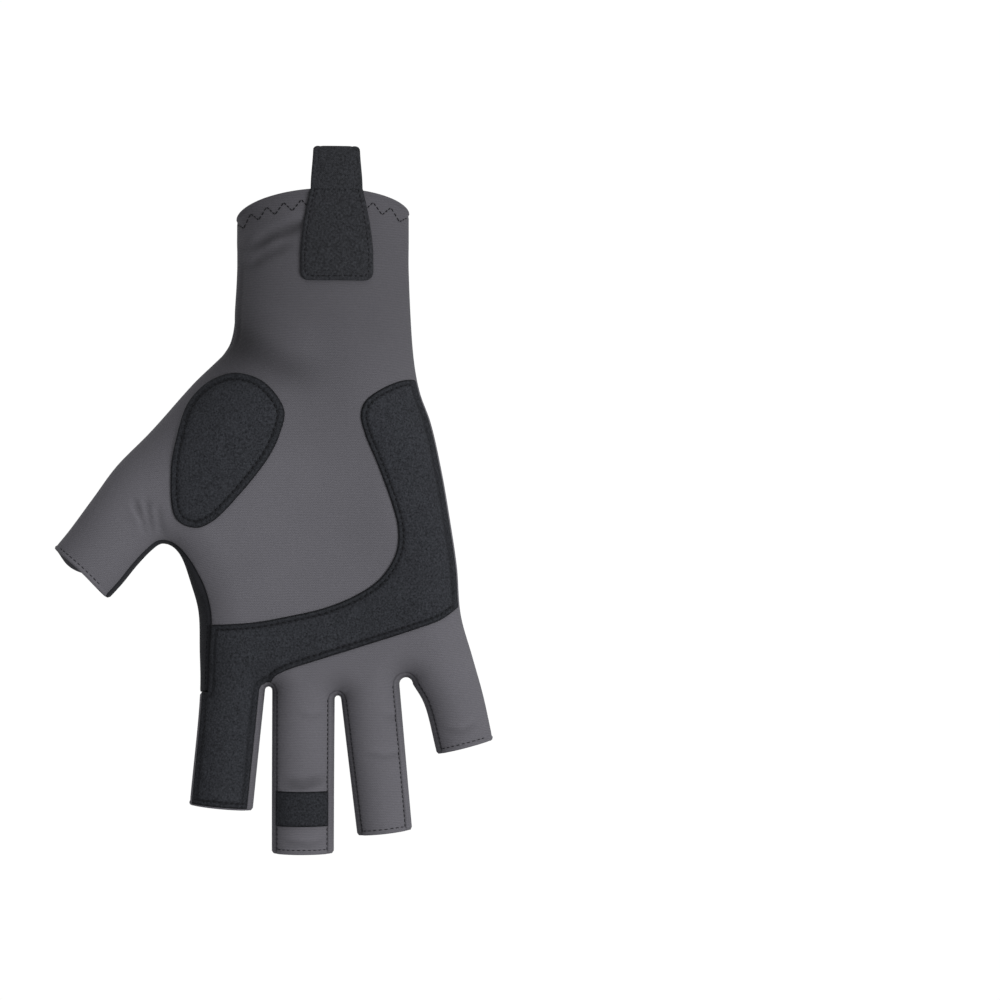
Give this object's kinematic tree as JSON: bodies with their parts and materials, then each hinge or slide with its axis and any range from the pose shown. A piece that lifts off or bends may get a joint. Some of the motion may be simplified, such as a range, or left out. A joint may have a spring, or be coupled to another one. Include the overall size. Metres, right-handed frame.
{
  "type": "fishing glove",
  "caption": "Fingerless sun glove for the right hand, with suede palm patches, a mesh thumb gusset and a pull tab at the cuff, held in its worn shape.",
  "frame": {"origin": "middle of the wrist opening", "axes": "+Z out of the cuff along the forearm, -Y out of the palm, +X towards the little-finger side"},
  "size_m": [0.1566, 0.0435, 0.2516],
  "materials": {
    "shell_grey": "matt stretch knit",
    "patch_black": "brushed suede",
    "web_black": "matt fine knit",
    "tab_black": "matt webbing",
    "seam_thread": "matt sewing thread",
    "print_lime": "flat transfer print"
  },
  "bodies": {
    "root": {"palm_panel": "shell_grey", "back_panel": "shell_grey", "fourchette_index_middle": "shell_grey", "fourchette_middle_ring": "shell_grey", "fourchette_ring_little": "shell_grey", "thumb_gusset": "web_black", "palm_patch": "patch_black", "thenar_patch": "patch_black", "finger_band": "patch_black", "pull_tab": "tab_black"}
  },
  "joints": []
}
